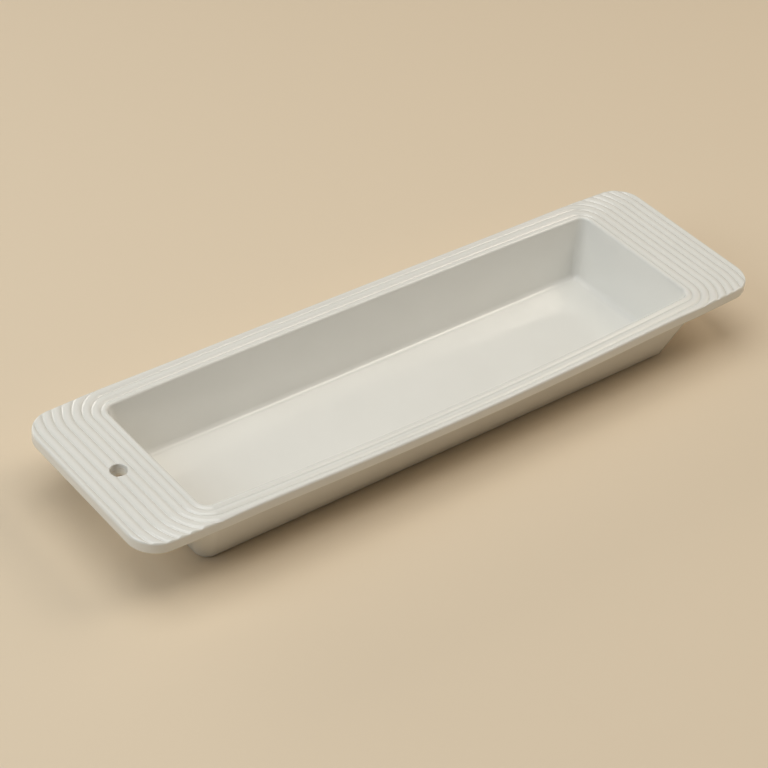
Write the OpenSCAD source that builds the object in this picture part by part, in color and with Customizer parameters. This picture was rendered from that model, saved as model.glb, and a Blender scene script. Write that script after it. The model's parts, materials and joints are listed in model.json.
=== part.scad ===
// Long cracker tray in white glazed stoneware, fired as one piece.
// A deep, drafted well is hung from a flat rim. Convex ridges run round the opening at equal
// steps: three along each long side and nine across each handle, where the rim's own outline
// cuts the outer ones short. One handle has a round hanging hole.
// X runs along the tray, Y across it, Z up. The origin is on the table, under the middle.

/* [Opening] */
// Length of the well's opening, between the inner edges of the handles
opening_l = 265; // [200:1:320]
// Width of the opening at its two ends
opening_w = 71; // [56:0.5:96]
// Corner radius of the opening
opening_r = 5.5; // [3:0.5:10]
// How far each long side swells outward at its middle
side_bow = 2.5; // [0.5:0.1:5]

/* [Rim] */
// Height of the ridge tops above the table
rim_h = 34; // [26:0.5:44]
// Thickness of the rim, from ridge tops to underside
rim_t = 4.8; // [3.6:0.1:6]
// Width of the first ridge, which rolls over into the well
lip_w = 3; // [2:0.1:4.5]
// Width of each of the other ridges
ridge_w = 4; // [3:0.1:5]
// Depth of the grooves between the ridges
groove_d = 0.6; // [0.3:0.05:1]
// Number of ridges along each long side
side_ridges = 3; // [2:1:4]
// Number of ridges across each handle
handle_ridges = 9; // [6:1:11]
// Corner radius of the rim's outline
rim_r = 13; // [8:0.5:18]
// Rounding of the rim's upper outer edge
edge_r = 2.4; // [1.6:0.1:3]
// Rounding of the rim's lower outer edge
under_r = 1.2; // [0.6:0.1:1.6]

/* [Basin] */
// Height of the well's floor above the table
floor_h = 5.1; // [3.5:0.1:8]
// How far the floor's edge lies inside the opening's edge
floor_inset = 6.1; // [3:0.1:9]
// Fillet between the floor and the walls
floor_r = 4; // [2:0.1:6]
// How far the outside of the wall lies outside the opening where it meets the rim
wall_out = 6; // [4.4:0.1:7]
// How far the base's edge lies inside the opening's edge
base_inset = 3; // [1:0.1:5]
// Corner radius of the base
base_r = 6.5; // [4:0.1:9]
// Rounding where the wall turns under to the foot
foot_r = 1.5; // [0.8:0.1:2.5]
// Width of the flat foot ring that the tray stands on
foot_w = 5; // [3:0.1:8]
// Depth of the underside inside the foot ring
recess_d = 0.8; // [0.4:0.1:1.5]

/* [Hanging hole] */
// Diameter of the hole
hole_d = 7; // [4:0.1:10]
// Distance from the opening's edge to the hole's centre
hole_in = 16; // [12:0.5:22]

/* [Hidden] */

glaze = [0.88, 0.87, 0.83];
over = 1;

// Facets of corner arcs, of the soft hulls, and of a full turn of the long sides' shallow arc
corner_fn = 96;
soft_fn = 32;
bow_fn = 2160;

// A side's section is smaller all round by this much than that of the corners it runs into,
// and reaches this many degrees into them, so that no two pieces share a face
seam = 0.02;
seam_turn = 0.002;
// Chords along each bowed side of a plate, and the thickness of a plate that only guides a hull
bow_steps = 12;
plate_t = 0.01;

open_x = opening_l / 2;
open_y = opening_w / 2;
side_w = lip_w + (side_ridges - 1) * ridge_w;
handle_w = lip_w + (handle_ridges - 1) * ridge_w;
rim_x = open_x + handle_w;
groove_z = rim_h - groove_d;
under_z = rim_h - rim_t;

// Each long side of the opening is an arc through its two ends and its bowed middle.
// bow_y is how far the arc's centre lies beyond the middle of the tray.
bow_r = (open_x * open_x + side_bow * side_bow) / (2 * side_bow);
bow_y = bow_r - open_y - side_bow;

// Centre of a corner arc of radius r that touches the side arc grown by out and the end at end_x
function corner_x(end_x, r) = end_x - r;
function corner_y(end_x, r, out) = sqrt(pow(bow_r + out - r, 2) - pow(end_x - r, 2)) - bow_y;
// Half the angle that the side arc turns through between its two corners
function side_turn(end_x, r, out) = asin((end_x - r) / (bow_r + out - r));

// Half width of the side arc, grown by out, at a place along the tray
function half_width(x, out) = sqrt(pow(bow_r + out, 2) - x * x) - bow_y;

// Radius of a ridge of width w whose edges lie one groove depth below its top
function ridge_r(w) = (w * w / 4 + groove_d * groove_d) / (2 * groove_d);

// Carries a section round a bowed, round-cornered outline. In the section, x is the distance out
// from that outline and y is the height. The first child follows the long sides, the second the
// corners and the ends.
module sweep(end_x, r, out) {
    cx = corner_x(end_x, r);
    cy = corner_y(end_x, r, out);
    turn = side_turn(end_x, r, out);
    reach = turn + seam_turn;
    for (flip = [0, 1]) mirror([0, flip, 0]) {
        translate([0, -bow_y, 0])
            rotate_extrude(angle = 2 * reach, start = 90 - reach, $fn = bow_fn)
                translate([bow_r + out, 0]) children(0);
        for (end = [0, 1]) mirror([end, 0, 0])
            translate([cx, cy, 0])
                rotate_extrude(angle = 90 - turn, start = 0, $fn = corner_fn)
                    translate([r, 0]) children(1);
    }
    for (end = [0, 1]) mirror([end, 0, 0])
        translate([end_x, cy, 0])
            rotate([90, 0, 0])
                linear_extrude(2 * cy) children(1);
}

// Section of the ridges before the rim is cut to shape: a deep block crowned by convex ridges,
// the narrow lip first. It is smaller all round by inset.
module ridge_section(count, inset) {
    width = lip_w + count * ridge_w - inset;
    base_z = rim_h - 2 * ridge_r(ridge_w) - over;
    translate([inset - over, base_z + inset])
        square([width + over - inset, groove_z - groove_d / 2 - base_z - 2 * inset]);
    translate([lip_w / 2, rim_h - ridge_r(lip_w)])
        circle(ridge_r(lip_w) - inset, $fn = corner_fn);
    for (i = [1 : count])
        translate([lip_w + (i - 0.5) * ridge_w, rim_h - ridge_r(ridge_w)])
            circle(ridge_r(ridge_w) - inset, $fn = corner_fn);
}

// Section of the rim's outer edge, from the corner's centre outward, round above and below.
// It is smaller all round by inset.
module edge_section(inset) {
    low = under_z + inset;
    high = rim_h + groove_d - inset;
    top_r = edge_r - inset;
    low_r = under_r - inset;
    back = inset + seam - rim_r;
    translate([back, low]) square([-edge_r - back, high - low]);
    translate([back, low + low_r]) square([-inset - back, high - top_r - low - low_r]);
    translate([back, low]) square([-under_r - back, high - top_r - low]);
    translate([-edge_r, high - top_r]) circle(top_r, $fn = corner_fn);
    translate([-under_r, low + low_r]) circle(low_r, $fn = corner_fn);
}

// Everything inside the rim's outline, with its round outer edge
module rim_envelope() {
    sweep(rim_x, rim_r, side_w) {
        edge_section(seam);
        edge_section(0);
    }
    cx = corner_x(rim_x, rim_r) + over;
    cy = corner_y(rim_x, rim_r, side_w) + over;
    inner_y = half_width(0, side_w) - rim_r + over;
    translate([0, 0, under_z]) linear_extrude(rim_t + groove_d)
        polygon([[-cx, -cy], [0, -inner_y], [cx, -cy], [cx, cy], [0, inner_y], [-cx, cy]]);
}

module rim() {
    intersection() {
        sweep(open_x, opening_r, 0) {
            ridge_section(side_ridges, seam);
            ridge_section(handle_ridges, 0);
        }
        rim_envelope();
    }
}

// A thin plate with the opening's outline grown by out
module opening_plate(out) {
    reach = open_x - opening_r;
    arc = [
        for (i = [0 : bow_steps])
            let (x = reach * (2 * i / bow_steps - 1)) [x, half_width(x, out)]
    ];
    linear_extrude(plate_t) {
        polygon(concat(arc, [for (p = arc) -p]));
        for (sx = [-1, 1], sy = [-1, 1])
            translate([sx * reach, sy * corner_y(open_x, opening_r, 0)])
                circle(opening_r + out, $fn = soft_fn);
    }
}

module at_corners(x, y) {
    for (sx = [-1, 1], sy = [-1, 1]) translate([sx * x, sy * y, 0]) children();
}

// Outside of the basin: straight at the foot, bowed where it meets the rim
module basin() {
    hull() {
        at_corners(open_x - base_inset - base_r, open_y - base_inset - base_r)
            rotate_extrude($fn = soft_fn)
                translate([base_r - foot_r, foot_r]) circle(foot_r, $fn = soft_fn);
        translate([0, 0, under_z + over]) opening_plate(wall_out);
    }
}

// Space inside the well: drafted walls, round in the corners and along the floor
module well() {
    slope = floor_inset / (groove_z - floor_h);
    lean = sqrt(1 + slope * slope);
    ball_in = floor_inset - floor_r * slope + floor_r * lean;
    top_z = rim_h + over;
    hull() {
        at_corners(open_x - ball_in, open_y - ball_in)
            translate([0, 0, floor_h + floor_r]) sphere(floor_r, $fn = soft_fn);
        translate([0, 0, top_z]) opening_plate((top_z - groove_z) * slope);
    }
}

// Shallow hollow in the underside that leaves the foot ring standing
module foot_recess() {
    edge = base_inset + foot_r + foot_w;
    r = base_r - foot_r;
    x = open_x - edge;
    y = open_y - edge;
    translate([0, 0, -over]) linear_extrude(recess_d + over) {
        square([2 * x, 2 * (y - r)], center = true);
        square([2 * (x - r), 2 * y], center = true);
        for (sx = [-1, 1], sy = [-1, 1])
            translate([sx * (x - r), sy * (y - r)]) circle(r, $fn = corner_fn);
    }
}

module hanging_hole() {
    translate([-open_x - hole_in, 0, under_z - over])
        cylinder(d = hole_d, h = rim_t + 2 * over, $fn = corner_fn);
}

module tray() {
    color(glaze)
        difference() {
            union() {
                rim();
                basin();
            }
            well();
            foot_recess();
            hanging_hole();
        }
}

tray();
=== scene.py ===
import json
import math

import bpy
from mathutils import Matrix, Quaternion, Vector


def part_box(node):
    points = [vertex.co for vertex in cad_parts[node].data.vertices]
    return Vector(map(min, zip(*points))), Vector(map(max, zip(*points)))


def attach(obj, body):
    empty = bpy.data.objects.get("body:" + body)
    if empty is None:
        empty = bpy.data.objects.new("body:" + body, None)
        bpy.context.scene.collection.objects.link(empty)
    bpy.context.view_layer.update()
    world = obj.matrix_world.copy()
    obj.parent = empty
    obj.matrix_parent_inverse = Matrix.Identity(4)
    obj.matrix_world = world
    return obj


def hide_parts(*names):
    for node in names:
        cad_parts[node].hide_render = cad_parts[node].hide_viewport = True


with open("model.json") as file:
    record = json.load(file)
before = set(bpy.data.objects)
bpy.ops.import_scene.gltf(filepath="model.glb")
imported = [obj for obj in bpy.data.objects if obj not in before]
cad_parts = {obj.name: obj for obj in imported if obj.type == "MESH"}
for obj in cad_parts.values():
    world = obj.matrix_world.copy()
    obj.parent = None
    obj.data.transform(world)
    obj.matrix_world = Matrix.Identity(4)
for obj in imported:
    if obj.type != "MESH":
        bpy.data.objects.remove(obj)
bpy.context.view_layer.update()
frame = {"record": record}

# Tray: one long stoneware body, cast in a mould and fired with its glaze. A drafted well hangs
# from a flat rim, and convex ridges run round the opening at equal steps until the rim's own
# outline cuts them off. A hanging hole goes through one handle.
mm = 0.001
_, tray_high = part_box("tray")
peg_hole = next(m for m in frame["record"]["mounts"] if m["name"] == "peg_hole")

# Sizes, each an input of the tray's node tree. Insets are measured from the opening's edge.
tray_sizes = {
    "Opening length": 265 * mm,
    "Opening width": 71 * mm,
    "Opening corner": 4.6 * mm,
    "Side bow": 2.47 * mm,
    "Side sag": 1.4 * mm,
    "Rim height": tray_high.z,
    "Rim thickness": 5.8 * mm,
    "Rim corner": 13 * mm,
    "Lip width": 3 * mm,
    "Ridge width": 4 * mm,
    "Groove depth": 0.7 * mm,
    "Side ridges": 3,
    "Side trim": 1 * mm,
    "Handle ridges": 9,
    "Handle trim": 1.2 * mm,
    "Edge width": 1.2 * mm,
    "Edge height": 1.4 * mm,
    "Edge lift": 0.1 * mm,
    "Edge blend": 0.3 * mm,
    "Rim shift along": 0.6 * mm,
    "Rim shift across": 0.6 * mm,
    "Rim shift start": 5 * mm,
    "Rim shift full": 9 * mm,
    "Under rounding": 1.1 * mm,
    "Floor height": 5.1 * mm,
    "Floor inset": 6.1 * mm,
    "Floor fillet": 3.4 * mm,
    "Floor dish": 1.2 * mm,
    "Wall top": 6 * mm,
    "Neck fillet": 3 * mm,
    "Base inset": 3 * mm,
    "Base corner": 6.5 * mm,
    "Foot rounding": 1.5 * mm,
    "Foot width": 5 * mm,
    "Recess depth": 0.8 * mm,
    "Recess slope": 0.6 * mm,
    "Hole radius": peg_hole["dims"]["r_mm"] * mm,
    "Hole place": peg_hole["pos_m"][0],
    "Hole lip": 0.15 * mm,
    "Hole fill start": 1 * mm,
    "Hole fill full": 0.2 * mm,
}

# The mesh is a grid over one quarter of the tray. Stations run from the middle of a long side
# round the corner to the middle of the handle; columns run from the middle of the well's floor
# up the wall, out over the rim, and back underneath to the middle of the foot. The end has as
# many stations as the floor has columns, so that the two meet point to point.
stations = {"side": 36, "corner": 88, "end": 16}
columns = {
    "floor": 16, "fillet": 10, "wall": 14, "lip": 10, "ridges": 67, "edge": 10, "band": 3,
    "under_edge": 6, "underside": 6, "neck": 6, "outer_wall": 12, "foot": 6, "foot_ring": 3,
    "step": 4, "recess": 2,
}

tree = bpy.data.node_groups.new("Tray form", "GeometryNodeTree")
tree.interface.new_socket("Glaze", in_out="INPUT", socket_type="NodeSocketMaterial")
for name in tray_sizes:
    tree.interface.new_socket(name, in_out="INPUT", socket_type="NodeSocketFloat")
tree.interface.new_socket("Geometry", in_out="OUTPUT", socket_type="NodeSocketGeometry")
tree_in = tree.nodes.new("NodeGroupInput")
tree_out = tree.nodes.new("NodeGroupOutput")


class Term:
    """A value that math nodes of the tray's tree work out at every point."""

    def __init__(self, socket):
        self.socket = socket

    def math(self, operation, *others):
        node = tree.nodes.new("ShaderNodeMath")
        node.operation = operation
        for slot, value in zip(node.inputs, (self, *others)):
            if isinstance(value, Term):
                tree.links.new(value.socket, slot)
            else:
                slot.default_value = value
        return Term(node.outputs["Value"])

    def __add__(self, other):
        return self.math("ADD", other)

    def __sub__(self, other):
        return self.math("SUBTRACT", other)

    def __mul__(self, other):
        return self.math("MULTIPLY", other)

    def __truediv__(self, other):
        return self.math("DIVIDE", other)

    def __neg__(self):
        return self * -1

    def __rsub__(self, other):
        return -self + other

    __radd__ = __add__
    __rmul__ = __mul__


def sin(angle):
    return angle.math("SINE")


def cos(angle):
    return angle.math("COSINE")


def root(value):
    return value.math("SQRT")


def mix(a, b, share):
    return a + (b - a) * share


def pick(test, yes, no):
    return mix(no, yes, test)


def add_node(kind, **sockets):
    """A node of the tray's tree, with its inputs set or linked by name."""
    node = tree.nodes.new(kind)
    for name, value in sockets.items():
        slot = node.inputs[name.replace("_", " ")]
        if isinstance(value, Term):
            tree.links.new(value.socket, slot)
        elif isinstance(value, bpy.types.NodeSocket):
            tree.links.new(value, slot)
        else:
            slot.default_value = value
    return node


def ramp(value, first, last):
    """A share that goes from 0 to 1 while the value goes from first to last."""
    node = add_node("ShaderNodeMapRange", Value=value, From_Min=first, From_Max=last)
    return Term(node.outputs["Result"])


def runs(count, steps):
    """One ramp from 0 to 1 for each named stretch of the grid."""
    out, first = {}, 0
    for name, step in steps.items():
        out[name] = ramp(count, first, first + step)
        first += step
    return out


def size(name):
    return Term(tree_in.outputs[name])


def point():
    """X, Y and Z of each point of the mesh that the values are used on."""
    place = tree.nodes.new("GeometryNodeInputPosition").outputs["Position"]
    split = add_node("ShaderNodeSeparateXYZ", Vector=place)
    return [Term(split.outputs[axis]) for axis in "XYZ"]


def vector(x, y, z):
    return add_node("ShaderNodeCombineXYZ", X=x, Y=y, Z=z).outputs["Vector"]


right_angle = math.pi / 2
station_count, column_count = sum(stations.values()), sum(columns.values())
grid = add_node("GeometryNodeMeshGrid", Size_X=station_count, Size_Y=column_count,
                Vertices_X=station_count + 1, Vertices_Y=column_count + 1)
grid_x, grid_y, _ = point()
station = grid_x + station_count / 2
column = grid_y + column_count / 2
along = runs(station, stations)
across = runs(column, columns)

# The side's stations cover the whole floor, so the corner and the end need none of it
spare = station.math("GREATER_THAN", stations["side"]) * column.math("LESS_THAN", columns["floor"])
cut_grid = add_node("GeometryNodeDeleteGeometry", Geometry=grid.outputs["Mesh"], Selection=spare)
cut_grid.domain = "FACE"

# Plan of the opening: a shallow arc along the side, a round corner, and a straight end. Every
# ring of the rim lies at one distance out from the spine, along the direction out_x, out_y.
corner_r = size("Opening corner")
bow = size("Side bow")
open_x = size("Opening length") / 2
open_y = size("Opening width") / 2
bow_r = (open_x * open_x + bow * bow) / (bow * 2)
turn = ((open_x - corner_r) / (bow_r - corner_r)).math("ARCSINE")
lean = turn * along["side"] + (right_angle - turn) * along["corner"]
out_x = sin(lean)
out_y = cos(lean)
to_middle = (1 - along["end"]) * (1 - along["end"])
half_turn = sin(turn * along["side"] / 2)
spine_x = (bow_r - corner_r) * sin(turn * along["side"])
spine_y = (open_y + bow - corner_r - (bow_r - corner_r) * half_turn * half_turn * 2) * to_middle

# Plan of the rim: how far out its edge lies, and how squarely the edge faces that direction.
# Past the corner the rim's side runs on straight, turns through its own corner, and ends flat.
# The trim along the side, like the dish of the floor, fades out shortly before the corner.
end_fade = 6
mid_side = 1 - along["side"].math("POWER", end_fade)
lip_w = size("Lip width")
ridge_w = size("Ridge width")
ridged_w = lip_w + (size("Handle ridges") - 1) * ridge_w
handle_w = ridged_w - size("Handle trim")
side_w = lip_w + (size("Side ridges") - 1) * ridge_w - size("Side trim") * mid_side
rim_r = size("Rim corner")
rim_x = handle_w + corner_r - rim_r
rim_y = (corner_r + side_w - rim_r - rim_x * sin(turn)) / cos(turn)
swing = lean.math("MAXIMUM", turn)
to_centre = rim_x * sin(swing) + rim_y * cos(swing)
past_centre = to_centre * to_centre - rim_x * rim_x - rim_y * rim_y + rim_r * rim_r
past_centre = root(past_centre.math("MAXIMUM", 0))
side_until = (rim_x + rim_r * sin(turn)).math("ARCTAN2", rim_y + rim_r * cos(turn))
end_from = (rim_x + rim_r).math("ARCTAN2", rim_y)
on_side = swing.math("LESS_THAN", side_until)
on_end = swing.math("GREATER_THAN", end_from)
reach = pick(on_side, (corner_r + side_w) / cos(swing - turn),
             pick(on_end, (corner_r + handle_w) / sin(swing), to_centre + past_centre))
facing = pick(on_side, cos(swing - turn), pick(on_end, sin(swing), past_centre / rim_r))
rim_w = reach - corner_r

# Section of the well: dished floor, fillet, drafted wall, and a lip that rolls over onto the rim
rim_h = size("Rim height")
groove_d = size("Groove depth")
floor_h = size("Floor height")
floor_r = size("Floor fillet")
lip_r = lip_w / 2
draft = (size("Floor inset") / (rim_h - groove_d - floor_h)).math("ARCTANGENT")
fillet_in = size("Floor inset") + floor_r * (1 - sin(draft)) / cos(draft)
floor_x = (open_x - fillet_in) * along["side"]
floor_share = across["floor"] * across["floor"]
floor_y = (open_y - fillet_in) * to_middle * floor_share
dish = size("Floor dish") * mid_side
dish_z = dish * (1 - floor_share * floor_share)
dish_turn = (dish * 2 / (open_y - fillet_in)).math("ARCTANGENT")
fillet_turn = mix(dish_turn, right_angle - draft, across["fillet"])
lip_turn = mix(draft, right_angle, across["lip"])
lip_in = lip_r * (1 - cos(lip_turn))
lip_z = rim_h - lip_r * (1 - sin(lip_turn))

# Section of the rim: ridges of equal width out to the round edge, which lies lower at its side.
# The crests are broad, and the columns crowd together at the grooves, so that each groove stays
# a narrow line.
crowding = 0.8
crest_power = 2.6
edge_w = size("Edge width") / facing
edge_turn = across["edge"] * right_angle
even_out = lip_r + across["ridges"] * (ridged_w - lip_r)
even_step = ((even_out - lip_w) / ridge_w).math("MAXIMUM", 0)
crowd_in = sin(even_step * math.tau) * ridge_w * (crowding / math.tau)
ridge_out = (even_out - crowd_in).math("MINIMUM", rim_w - edge_w)
rim_out = ridge_out + edge_w * sin(edge_turn)
on_lip = rim_out.math("LESS_THAN", lip_w)
past_lip = (rim_out - lip_w) / ridge_w
from_crest = pick(on_lip, (rim_out - lip_r) / lip_r, past_lip.math("FRACT") * 2 - 1)
past_well = across["ridges"].math("GREATER_THAN", 0)
groove = from_crest.math("ABSOLUTE").math("POWER", crest_power) * past_well
edge_z = rim_h + size("Edge lift") - size("Edge height") * (1 - cos(edge_turn))
rim_z = (lip_z - groove_d * groove).math("SMOOTH_MIN", edge_z, size("Edge blend"))

# Section of the underside: the rim's edge band, its lower rounding, and the neck under the rim
rim_t = size("Rim thickness")
under_r = size("Under rounding")
under_z = rim_h - rim_t
neck_r = size("Neck fillet")
flare = ((size("Wall top") + size("Base inset")) / under_z).math("ARCTANGENT")
neck_out = size("Wall top") + neck_r * (1 - sin(flare)) / cos(flare)
neck_turn = (right_angle - flare) * across["neck"]
under_turn = across["under_edge"] * right_angle
band_z = mix(rim_z, under_z + under_r, across["band"]) - under_r * sin(under_turn)
turned_in = rim_out - under_r / facing * (1 - cos(under_turn))
under_out = mix(turned_in, neck_out, across["underside"])
neck_z = band_z - neck_r * (1 - cos(neck_turn))

# Section of the foot: a round turn under the wall, a flat ring, and a shallow recess inside it
foot_r = size("Foot rounding")
base_r = size("Base corner")
base_in = size("Base inset") + base_r
ring_in = base_in + size("Foot width")
base_x = mix(open_x - base_in, open_x - ring_in, across["foot_ring"]) * along["side"]
base_y = mix(open_y - base_in, open_y - ring_in, across["foot_ring"]) * to_middle
foot_turn = mix(flare, right_angle, across["foot"])
foot_out = base_r - foot_r * (1 - cos(foot_turn)) - size("Recess slope") * across["step"]
foot_z = foot_r * (1 - sin(foot_turn)) + size("Recess depth") * across["step"]

# The stretches joined: spine, distance out from it, and height
outer = across["outer_wall"]
inward = 1 - across["recess"]
tray_spine_x = mix(mix(floor_x, spine_x, across["wall"]), base_x, outer)
tray_spine_y = mix(mix(floor_y, spine_y, across["wall"]), base_y, outer)
fillet_out = floor_r * (sin(fillet_turn) - sin(dish_turn))
well_out = mix(fillet_out, corner_r + lip_in, across["wall"])
rest_out = corner_r + under_out - neck_r * sin(neck_turn)
tray_out = mix(pick(past_well, rest_out, well_out), foot_out, outer) * inward
fillet_z = floor_h - dish_z + floor_r * (cos(dish_turn) - cos(fillet_turn))
well_z = mix(fillet_z, lip_z, across["wall"])
level_z = mix(pick(past_well, neck_z, well_z), foot_z, outer)
tray_x = tray_spine_x + tray_out * out_x
tray_y = tray_spine_y * inward + tray_out * out_y

# The long sides sag a little in the firing, more towards the rim
sag_power = 1.5
from_end = (1 - (tray_x / open_x) * (tray_x / open_x)).math("MAXIMUM", 0)
tray_z = level_z * (1 - size("Side sag") / rim_h * from_end.math("POWER", sag_power))

# Marks for later: the grooves and the bare foot for the glaze, and the outer rim for its shift
midway = 0.5
outer_rim = ramp(rim_out, size("Rim shift start"), size("Rim shift full"))
marks = {
    "groove": groove * (1 - across["edge"]),
    "bare_foot": across["foot"].math("GREATER_THAN", midway)
                 * across["step"].math("LESS_THAN", midway),
    "rim_share": outer_rim * (1 - across["underside"]),
}
quarter_tray = cut_grid.outputs[0]
for name, value in marks.items():
    quarter_tray = add_node("GeometryNodeStoreNamedAttribute", Geometry=quarter_tray,
                            Name=name, Value=value).outputs[0]
quarter_tray = add_node("GeometryNodeSetPosition", Geometry=quarter_tray,
                        Position=vector(tray_x, tray_y, tray_z)).outputs[0]


def mirrored(mesh, scale):
    """The mesh together with its mirror image."""
    flipped = add_node("GeometryNodeTransform", Geometry=mesh, Scale=scale).outputs[0]
    flipped = add_node("GeometryNodeFlipFaces", Mesh=flipped).outputs[0]
    both = tree.nodes.new("GeometryNodeJoinGeometry")
    tree.links.new(mesh, both.inputs[0])
    tree.links.new(flipped, both.inputs[0])
    return both.outputs[0]


def mark(name):
    return Term(add_node("GeometryNodeInputNamedAttribute", Name=name).outputs["Attribute"])


weld = 0.002 * mm
whole_tray = mirrored(mirrored(quarter_tray, (-1, 1, 1)), (1, -1, 1))
whole_tray = add_node("GeometryNodeMergeByDistance", Geometry=whole_tray,
                      Distance=weld).outputs[0]

# The rim was trimmed a little off the middle of the well, and its grooves fill with glaze where
# they meet the hole
hole_r = size("Hole radius")
whole_x, whole_y, _ = point()
hole_x = whole_x - size("Hole place")
from_hole = root(hole_x * hole_x + whole_y * whole_y) - hole_r
at_hole = ramp(from_hole, size("Hole fill start"), size("Hole fill full"))
shift = vector(size("Rim shift along") * mark("rim_share"),
               size("Rim shift across") * mark("rim_share"),
               groove_d * mark("groove") * at_hole)
whole_tray = add_node("GeometryNodeSetPosition", Geometry=whole_tray, Offset=shift).outputs[0]

# The hanging hole: a straight drill that widens where it meets the rim's two faces
drill_sides, drill_rings = 72, 40
drill_over = 4 * mm
hole_lip = size("Hole lip")
drill = add_node("GeometryNodeMeshCylinder", Vertices=drill_sides, Side_Segments=drill_rings,
                 Radius=hole_r, Depth=rim_t + drill_over)
drill_x, drill_y, drill_z = point()
lip_from = (rim_t - groove_d) / 2 - hole_lip
into_lip = (drill_z.math("ABSOLUTE") - lip_from) / hole_lip
into_lip = into_lip.math("MAXIMUM", 0).math("MINIMUM", 1)
widen = 1 + hole_lip / hole_r * (1 - root(1 - into_lip * into_lip))
drill = add_node("GeometryNodeSetPosition", Geometry=drill.outputs["Mesh"],
                 Position=vector(drill_x * widen, drill_y * widen, drill_z))
drill = add_node("GeometryNodeTransform", Geometry=drill.outputs[0],
                 Translation=vector(size("Hole place"), 0, rim_h - rim_t / 2))
drilled = tree.nodes.new("GeometryNodeMeshBoolean")
drilled.operation = "DIFFERENCE"
drilled.solver = "EXACT"
tree.links.new(whole_tray, drilled.inputs["Mesh 1"])
tree.links.new(drill.outputs[0], drilled.inputs["Mesh 2"])

finished = add_node("GeometryNodeSetShadeSmooth", Geometry=drilled.outputs["Mesh"]).outputs[0]
finished = add_node("GeometryNodeRealizeInstances", Geometry=finished).outputs[0]
finished = add_node("GeometryNodeSetMaterial", Geometry=finished,
                    Material=tree_in.outputs["Glaze"]).outputs[0]
tree.links.new(finished, tree_out.inputs["Geometry"])

# Glaze: a glossy warm white with faint clouding, thin on the crests of the ridges and darker in
# their grooves, partly from glaze pooled there and partly as painted shade in the hollows. The
# foot ring is wiped bare before firing and shows the stoneware.
clear_white = (0.805, 0.795, 0.755, 1)
cloudy_white = (0.785, 0.775, 0.735, 1)
# Groove colour: partly pooled glaze and partly painted shade that darkens the grooves' hollows
pooled_glaze_and_shade_white = (0.72, 0.71, 0.67, 1)
stoneware = (0.60, 0.52, 0.42, 1)
glaze_ior = 1.58
smoothest, roughest, bare_roughness = 0.07, 0.13, 0.85
ripple_strength, ripple_height = 0.25, 0.05 * mm

glaze = bpy.data.materials.new("white_glaze")
glaze.use_nodes = True
glaze_nodes, glaze_links = glaze.node_tree.nodes, glaze.node_tree.links
glaze_shader = glaze_nodes["Principled BSDF"]
glaze_shader.inputs["IOR"].default_value = glaze_ior
glaze_place = glaze_nodes.new("ShaderNodeTexCoord").outputs["Object"]


def glaze_noise(scale, detail, low=0, high=1):
    """A noise over the piece, spread between two values."""
    noise = glaze_nodes.new("ShaderNodeTexNoise")
    noise.inputs["Scale"].default_value = scale
    noise.inputs["Detail"].default_value = detail
    spread = glaze_nodes.new("ShaderNodeMapRange")
    span = {"From Min": 0.3, "From Max": 0.7, "To Min": low, "To Max": high}
    for slot, value in span.items():
        spread.inputs[slot].default_value = value
    glaze_links.new(glaze_place, noise.inputs["Vector"])
    glaze_links.new(noise.outputs["Fac"], spread.inputs["Value"])
    return spread.outputs["Result"]


def glaze_mark(name):
    attribute = glaze_nodes.new("ShaderNodeAttribute")
    attribute.attribute_name = name
    return attribute.outputs["Fac"]


def glaze_mix(share, first, second):
    """Colours or plain values mixed by a share that changes over the piece."""
    plain = not isinstance(second, tuple)
    node = glaze_nodes.new("ShaderNodeMix")
    node.data_type = "FLOAT" if plain else "RGBA"
    slots = (node.inputs[2], node.inputs[3]) if plain else (node.inputs[6], node.inputs[7])
    glaze_links.new(share, node.inputs[0])
    for value, slot in zip((first, second), slots):
        if isinstance(value, bpy.types.NodeSocket):
            glaze_links.new(value, slot)
        else:
            slot.default_value = value
    return node.outputs[0] if plain else node.outputs[2]


clouded = glaze_mix(glaze_noise(scale=38, detail=3), clear_white, cloudy_white)
# The grooves are darkened, partly as pooled glaze and partly as painted shade
pooled_and_shaded = glaze_mix(glaze_mark("groove"), clouded, pooled_glaze_and_shade_white)
colour = glaze_mix(glaze_mark("bare_foot"), pooled_and_shaded, stoneware)
gloss = glaze_noise(scale=120, detail=2, low=smoothest, high=roughest)
roughness = glaze_mix(glaze_mark("bare_foot"), gloss, bare_roughness)
ripple = glaze_nodes.new("ShaderNodeBump")
ripple.inputs["Strength"].default_value = ripple_strength
ripple.inputs["Distance"].default_value = ripple_height
glaze_links.new(glaze_noise(scale=70, detail=1), ripple.inputs["Height"])
glaze_links.new(colour, glaze_shader.inputs["Base Color"])
glaze_links.new(roughness, glaze_shader.inputs["Roughness"])
glaze_links.new(ripple.outputs["Normal"], glaze_shader.inputs["Normal"])

tray_mesh = bpy.data.meshes.new("tray_form")
tray = bpy.data.objects.new("glazed_tray", tray_mesh)
bpy.context.scene.collection.objects.link(tray)
form = tray.modifiers.new("Tray form", "NODES")
form.node_group = tree
values = {"Glaze": glaze, **tray_sizes}
for item in tree.interface.items_tree:
    if item.in_out == "INPUT":
        form[item.identifier] = values[item.name]
bpy.context.view_layer.update()
evaluated = tray.evaluated_get(bpy.context.evaluated_depsgraph_get())
tray.data = bpy.data.meshes.new_from_object(evaluated)
tray.modifiers.remove(form)
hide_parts("tray")
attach(tray, "root")

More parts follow.
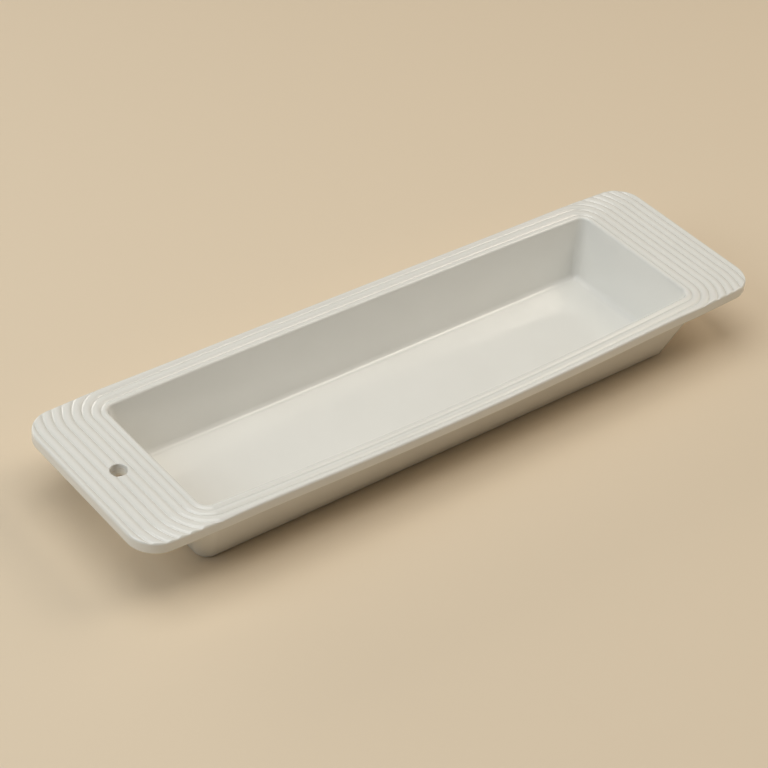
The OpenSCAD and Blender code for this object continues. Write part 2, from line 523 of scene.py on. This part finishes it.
# Table: a plain pale top in a warm plaster colour that the tray stands on. It is matt, takes the
# soft shadows, and throws some of its warmth back onto the tray's outer walls.
table_width = 8
table_colour = (0.73, 0.611, 0.46, 1)
table_roughness = 0.8
bpy.ops.mesh.primitive_plane_add(size=table_width)
table = bpy.context.object
table.name = "table_top"
table_finish = bpy.data.materials.new("table_finish")
table_finish.use_nodes = True
table_shader = table_finish.node_tree.nodes["Principled BSDF"]
table_shader.inputs["Base Color"].default_value = table_colour
table_shader.inputs["Roughness"].default_value = table_roughness
table.data.materials.append(table_finish)

# Light: a broad soft box overhead, cool window light from the left, warm cards on the right,
# behind and in front, and a small high one that draws a line along the well's floor. The room
# itself is almost dark.
lamp_distance = 1.5
room_grey = 0.01


def toward(azimuth, elevation):
    """Direction from the tray, in degrees round from its front and up from the table."""
    turned, raised = math.radians(azimuth), math.radians(elevation)
    return Vector((math.sin(turned) * math.cos(raised), -math.cos(turned) * math.cos(raised),
                   math.sin(raised)))


def soft_box(name, azimuth, elevation, width, height, energy, colour):
    lamp = bpy.data.lights.new(name, "AREA")
    lamp.shape = "RECTANGLE"
    lamp.size, lamp.size_y = width, height
    lamp.energy, lamp.color = energy, colour
    stand = bpy.data.objects.new(name, lamp)
    stand.location = toward(azimuth, elevation) * lamp_distance
    stand.rotation_euler = (-toward(azimuth, elevation)).to_track_quat("-Z", "Y").to_euler()
    bpy.context.scene.collection.objects.link(stand)


soft_box("overhead_box", 255, 80, 1.2, 1.2, 12.5, (1, 0.98, 0.93))
soft_box("left_window", 258, 36, 1.0, 0.8, 7.4, (0.88, 0.955, 1))
soft_box("right_card", 84, 36, 1.2, 1.0, 4.6, (1, 0.89, 0.75))
soft_box("high_card", 66, 54, 0.55, 0.55, 3.5, (1, 0.92, 0.79))
soft_box("back_card", 190, 16, 1.2, 0.5, 5.1, (1, 0.92, 0.8))
soft_box("front_card", 10, 20, 1.2, 0.5, 0.8, (1, 0.88, 0.70))
room = bpy.data.worlds.new("room")
room.use_nodes = True
background = room.node_tree.nodes["Background"]
background.inputs["Color"].default_value = (room_grey, room_grey, room_grey, 1)
bpy.context.scene.world = room
bpy.context.scene.view_settings.view_transform = "Standard"

# Camera: a long lens held a little tilted, fitted to the tray's edges in the photograph. It aims
# at a point on the table, close to the tray's middle.
camera_from = toward(azimuth=-42.247, elevation=38.472)
camera_distance = 977.95 * mm
camera_roll = math.radians(6.423)
aim = Vector((2.95, 18.387, 0)) * mm
focal_in_pixels, image_width = 2207.1, 768
lens = bpy.data.cameras.new("camera")
lens.sensor_width = 36
lens.lens = lens.sensor_width * focal_in_pixels / image_width
lens.clip_start, lens.clip_end = 0.01, 20
camera = bpy.data.objects.new("camera", lens)
camera.location = aim + camera_from * camera_distance
camera.rotation_mode = "QUATERNION"
level = (-camera_from).to_track_quat("-Z", "Y")
camera.rotation_quaternion = level @ Quaternion((0, 0, 1), camera_roll)
bpy.context.scene.collection.objects.link(camera)
bpy.context.scene.camera = camera
